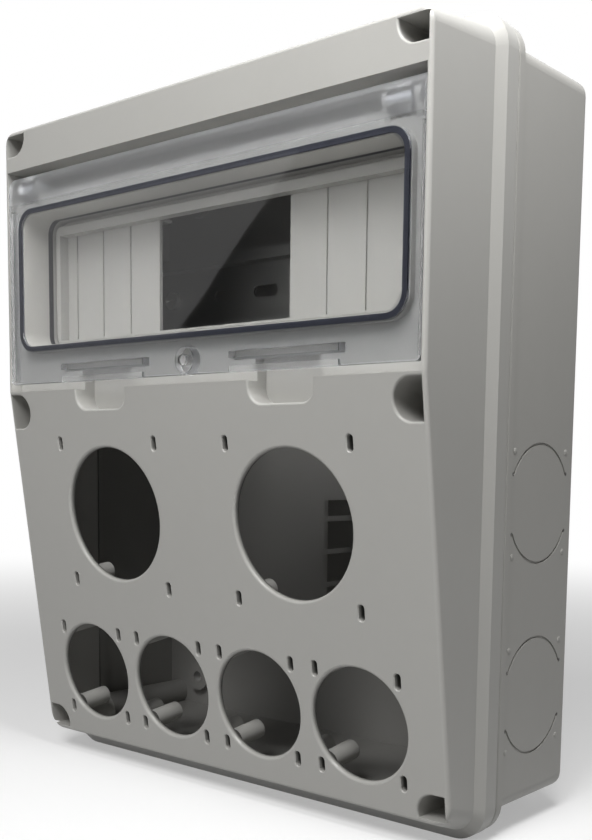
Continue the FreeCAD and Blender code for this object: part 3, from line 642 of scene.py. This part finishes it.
def addPips(settings, sideName, side):
    flatness = settings["pipHeight"] / settings["pipRadius"]
    shape = bmesh.new()
    for place in pipPlaces(settings, side):
        pip = bmesh.ops.create_uvsphere(shape, u_segments=settings["pipSegments"],
                                        v_segments=settings["pipRings"],
                                        radius=settings["pipRadius"])
        bmesh.ops.scale(shape, vec=(flatness, 1, 1), verts=pip["verts"])
        bmesh.ops.translate(shape, vec=place, verts=pip["verts"])
    for face in shape.faces:
        face.smooth = True
    piece = addMeshObject("knockoutPips_" + sideName, shape, basePlastic)
    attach(piece, "enclosure")


addPips(knockouts, "left", -1)
addPips(knockouts, "right", 1)
print("socket enclosure: knock-out pips added")


# Floor, background and lamps. Rays from the camera, from mirroring and through clear plastic
# see white in the distance, and the light that floor and world give the part is dimmer

studio = {
    "floorSize": 6.0,
    "floorSeen": (0.66, 0.66, 0.66, 1),
    "floorGlow": 0.36,
    "floorBounce": (0.40, 0.40, 0.40, 1),
    "fadeStart": 0.25,
    "fadeEnd": 1.2,
    "ambientStrength": 0.12,
    "white": (1, 1, 1, 1),
    "lamps": {
        "keyLamp": {"place": (0.14, -0.55, 0.52), "size": 0.30, "power": 3.7},
        "topLamp": {"place": (0.21, -0.15, 0.34), "size": 0.12, "power": 1.0},
        "fillLamp": {"place": (0.05, -1.25, 0.20), "size": 0.50, "power": 0.7},
    },
}

# Cards that only mirrored and refracted rays see. The room card stands behind the part and dims
# what its right side mirrors. The grey and the dark card stand to its left, where the door
# mirrors them, and the dark one's slanted edge draws the diagonal across the window.
# Corners are (along, up) on the card, at its depth on the other axis
cards = {
    "roomCard": {"axis": "Y", "depth": 1.50, "brightness": 0.30,
                 "corners": [(0.2, -0.14), (2.8, -0.14), (2.8, 0.42), (0.2, 0.42)]},
    "greyCard": {"axis": "X", "depth": -1.36, "brightness": 0.43,
                 "corners": [(-0.4, -0.14), (-3.2, -0.14), (-3.2, 1.9), (-0.4, 1.9)]},
    "darkCard": {"axis": "X", "depth": -1.30, "brightness": 0.05,
                 "corners": [(-1.104, 0.0), (-3.0, 0.0), (-3.0, 1.2), (-2.12, 1.2)]},
}


def seenRays(tree):
    rays = addNode(tree, "ShaderNodeLightPath", (-900, 300)).outputs
    direct = mathStep(tree, "MAXIMUM", (-700, 300), rays["Is Camera Ray"], rays["Is Glossy Ray"])
    return mathStep(tree, "MAXIMUM", (-500, 300), direct, rays["Is Transmission Ray"])


def addFloor(settings):
    material, tree, surfaceOutput = blankMaterial("floorPaint")
    seenPaint = addNode(tree, "ShaderNodeBsdfDiffuse", (-200, 300))
    seenPaint.inputs["Color"].default_value = settings["floorSeen"]
    bouncePaint = addNode(tree, "ShaderNodeBsdfDiffuse", (-200, 100))
    bouncePaint.inputs["Color"].default_value = settings["floorBounce"]
    glow = addNode(tree, "ShaderNodeEmission", (-200, 500))
    glow.inputs["Strength"].default_value = settings["floorGlow"]
    nearby = addNode(tree, "ShaderNodeAddShader", (0, 400))
    tree.links.new(seenPaint.outputs["BSDF"], nearby.inputs[0])
    tree.links.new(glow.outputs["Emission"], nearby.inputs[1])
    white = addNode(tree, "ShaderNodeEmission", (-200, -100))
    coords = objectCoords(tree, (-900, -200))
    distance = vectorStep(tree, "LENGTH", (-700, -200), coords, output="Value")
    fade = rangeStep(tree, (-500, -200), distance, (settings["fadeStart"], settings["fadeEnd"]),
                     (0, 1), "SMOOTHSTEP")
    backdrop = mixShaders(tree, (100, 0), fade, nearby.outputs["Shader"],
                          white.outputs["Emission"])
    feed(tree, surfaceOutput, mixShaders(tree, (400, 0), seenRays(tree),
                                         bouncePaint.outputs["BSDF"], backdrop))
    shape = bmesh.new()
    bmesh.ops.create_grid(shape, x_segments=1, y_segments=1, size=settings["floorSize"] / 2)
    bmesh.ops.translate(shape, verts=shape.verts, vec=(0, 0, cadLow.z))
    floor = addMeshObject("studioFloor", shape, material)


def addCard(name, settings):
    material, tree, surfaceOutput = blankMaterial(name + "Paint")
    glow = addNode(tree, "ShaderNodeEmission", (400, 0))
    glow.inputs["Strength"].default_value = settings["brightness"]
    feed(tree, surfaceOutput, glow.outputs["Emission"])
    shape = bmesh.new()
    depth = settings["depth"]
    acrossX = settings["axis"] == "X"
    shape.faces.new([shape.verts.new((depth, along, up) if acrossX else (along, depth, up))
                     for along, up in settings["corners"]])
    card = addMeshObject(name, shape, material)
    card.visible_camera = False
    card.visible_diffuse = False
    card.visible_shadow = False


def addLamp(name, settings):
    data = bpy.data.lights.new(name, "AREA")
    data.shape = "SQUARE"
    data.size = settings["size"]
    data.energy = settings["power"]
    lamp = bpy.data.objects.new(name, data)
    bpy.context.scene.collection.objects.link(lamp)
    lamp.location = settings["place"]
    lamp.visible_camera = False
    aim = (cadLow + cadHigh) / 2 - Vector(settings["place"])
    lamp.rotation_euler = aim.to_track_quat("-Z", "Y").to_euler()


def addWorld(settings):
    world = bpy.data.worlds.new("studioWorld")
    world.use_nodes = True
    tree = world.node_tree
    tree.nodes.clear()
    ambient = addNode(tree, "ShaderNodeBackground", (0, 100))
    feedAll(tree, ambient, {"Strength": settings["ambientStrength"], "Color": settings["white"]})
    backdrop = addNode(tree, "ShaderNodeBackground", (0, -100))
    feedAll(tree, backdrop, {"Strength": 1, "Color": settings["white"]})
    output = addNode(tree, "ShaderNodeOutputWorld", (450, 0))
    feed(tree, output.inputs["Surface"], mixShaders(tree, (250, 0), seenRays(tree),
                                                    ambient.outputs["Background"],
                                                    backdrop.outputs["Background"]))
    bpy.context.scene.world = world


addFloor(studio)
for cardName, cardSettings in cards.items():
    addCard(cardName, cardSettings)
for lampName, lampSettings in studio["lamps"].items():
    addLamp(lampName, lampSettings)
addWorld(studio)
bpy.context.scene.view_settings.view_transform = "Standard"
print("socket enclosure: studio ready")
